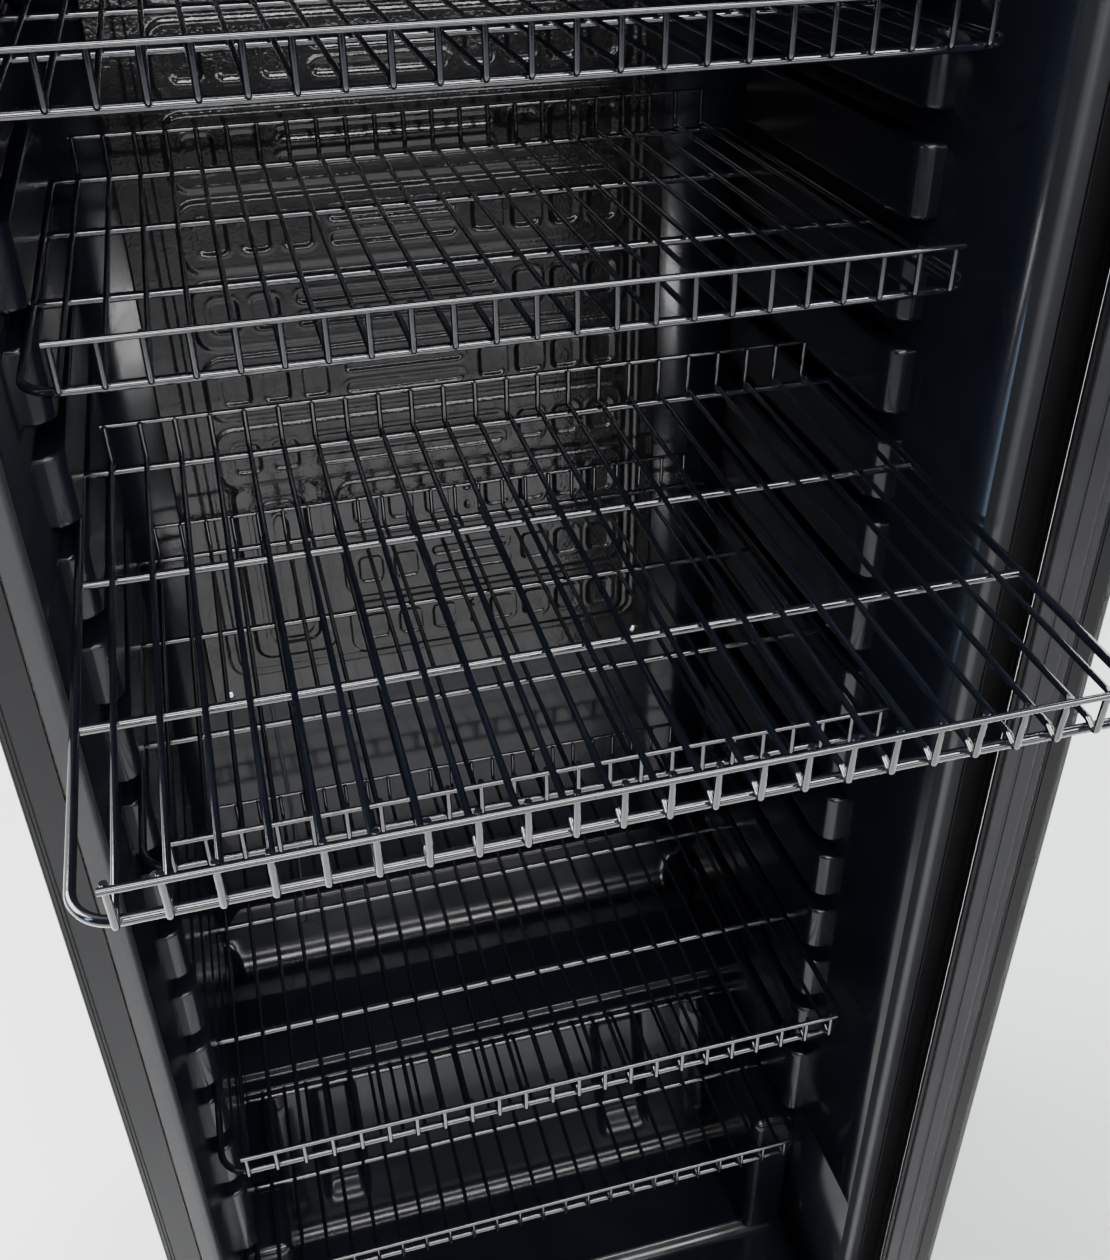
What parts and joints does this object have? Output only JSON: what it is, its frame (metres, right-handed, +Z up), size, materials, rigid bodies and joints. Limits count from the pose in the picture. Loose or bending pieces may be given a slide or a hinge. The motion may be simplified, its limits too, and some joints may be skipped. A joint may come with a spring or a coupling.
{
  "type": "glass door merchandiser",
  "caption": "Upright display fridge with a hinged glass door, ribbed black liner, wire shelves, plate evaporator and a lit header box.",
  "frame": {"origin": "on the floor under the centre of the cabinet body", "axes": "+X to the right seen from the door side, +Y from the door to the back, +Z up"},
  "size_m": [1.0433, 0.914, 1.79],
  "materials": {
    "black_steel": "black textured powder coat",
    "flange_steel": "dark satin coat",
    "zinc_steel": "galvanised sheet",
    "liner_abs": "semi-gloss black moulded sheet",
    "strip_vinyl": "dark grey satin vinyl",
    "foam": "rigid polyurethane foam",
    "coated_wire": "glossy black dip coat",
    "evaporator_coat": "glossy black coat",
    "copper": "drawn copper",
    "pot_black": "gloss black enamel",
    "black_plastic": "black moulded plastic",
    "white_plastic": "white moulded plastic",
    "sign_acrylic": "translucent white acrylic",
    "lamp_diffuser": "translucent diffuser",
    "led_board": "white circuit board",
    "fin_aluminium": "bright fins",
    "door_profile": "satin black coat",
    "pane": "clear tempered glass",
    "spacer_metal": "anodised",
    "gasket_vinyl": "soft grey-black magnetic gasket",
    "lock_metal": "polished",
    "pin_steel": "bright steel",
    "soft_rubber": "black rubber"
  },
  "bodies": {
    "cabinet": {"left_panel": "black_steel", "right_panel": "black_steel", "top_panel": "black_steel", "back_panel": "zinc_steel", "base_pan": "zinc_steel", "feet": "soft_rubber", "front_frame": "flange_steel", "breaker_strips": "strip_vinyl", "front_grille": "black_steel", "rear_grille": "zinc_steel", "liner": "liner_abs", "insulation": "foam", "evaporator_plate": "evaporator_coat", "evaporator_fasteners": "black_plastic", "drain_strip": "black_plastic", "drain_tube": "soft_rubber", "compressor": "pot_black", "compressor_mounts": "zinc_steel", "terminal_cover": "black_plastic", "drip_tray": "black_plastic", "condenser": "fin_aluminium", "fan_shroud": "zinc_steel", "condenser_fan_motor": "zinc_steel", "refrigerant_pipes": "copper", "cable_gland": "black_plastic", "header_housing": "black_steel", "header_sign": "sign_acrylic", "header_led_bar": "led_board", "control_housing": "black_plastic", "thermostat_body": "white_plastic", "lamp_cover": "lamp_diffuser", "lamp_board": "led_board", "circulation_fan_cover": "black_plastic", "circulation_fan_motor": "zinc_steel", "hinge_brackets": "black_steel", "hinge_pins": "pin_steel"},
    "door": {"door_frame": "door_profile", "glass_panes": "pane", "glass_spacer": "spacer_metal", "door_gasket": "gasket_vinyl", "door_handle": "door_profile"},
    "lock": {"lock_cylinder": "lock_metal"},
    "condenser_fan": {"condenser_fan_blade": "black_plastic"},
    "circulation_fan": {"circulation_fan_blade": "white_plastic"},
    "knob": {"thermostat_knob": "black_plastic"},
    "rocker": {"light_switch_rocker": "black_plastic"},
    "shelf_1": {"shelf_1_deck": "coated_wire", "shelf_1_fences": "coated_wire"},
    "shelf_2": {"shelf_2_deck": "coated_wire", "shelf_2_fences": "coated_wire"},
    "shelf_3": {"shelf_3_deck": "coated_wire", "shelf_3_fences": "coated_wire"},
    "shelf_4": {"shelf_4_deck": "coated_wire", "shelf_4_fences": "coated_wire"},
    "shelf_5": {"shelf_5_deck": "coated_wire", "shelf_5_fences": "coated_wire"},
    "shelf_6": {"shelf_6_deck": "coated_wire", "shelf_6_fences": "coated_wire"}
  },
  "joints": [
    {"name": "door_hinge", "type": "hinge", "parent": "cabinet", "child": "door", "pos_m": [0.276, -0.2755, 0.1505], "axis": [0, 0, 1], "range_deg": [-142, 0]},
    {"name": "lock_turn", "type": "hinge", "parent": "door", "child": "lock", "pos_m": [0.72496, -0.58121, 0.23], "axis": [0.6157, 0.788, 0], "range_deg": [0, 90]},
    {"name": "condenser_fan_spin", "type": "hinge", "parent": "cabinet", "child": "condenser_fan", "pos_m": [-0.04, -0.177, 0.083], "axis": [0, 1, 0], "continuous": true},
    {"name": "circulation_fan_spin", "type": "hinge", "parent": "cabinet", "child": "circulation_fan", "pos_m": [0.08, 0.103, 1.505], "axis": [0, 0, 1], "continuous": true},
    {"name": "thermostat_turn", "type": "hinge", "parent": "cabinet", "child": "knob", "pos_m": [-0.115, -0.047, 1.513], "axis": [0, -1, 0], "range_deg": [-150, 150]},
    {"name": "light_switch_tilt", "type": "hinge", "parent": "cabinet", "child": "rocker", "pos_m": [0.2235, -0.1084, 1.64], "axis": [1, 0, 0], "range_deg": [-6, 6]},
    {"name": "shelf_3_slide", "type": "slide", "parent": "cabinet", "child": "shelf_3", "axis": [0, -0.9991, -0.0419], "range_m": [-0.208, 0]},
    {"name": "shelf_1_slide", "type": "slide", "parent": "cabinet", "child": "shelf_1", "axis": [0, -1, 0], "range_m": [0, 0.2]},
    {"name": "shelf_2_slide", "type": "slide", "parent": "cabinet", "child": "shelf_2", "axis": [0, -1, 0], "range_m": [0, 0.2]},
    {"name": "shelf_4_slide", "type": "slide", "parent": "cabinet", "child": "shelf_4", "axis": [0, -1, 0], "range_m": [0, 0.2]},
    {"name": "shelf_5_slide", "type": "slide", "parent": "cabinet", "child": "shelf_5", "axis": [0, -1, 0], "range_m": [0, 0.2]},
    {"name": "shelf_6_slide", "type": "slide", "parent": "cabinet", "child": "shelf_6", "axis": [0, -1, 0], "range_m": [0, 0.08]}
  ],
  "couplings": [
    {"joint": "shelf_3_slide", "follows": "door_hinge", "m_per_rad": 0.083926}
  ]
}
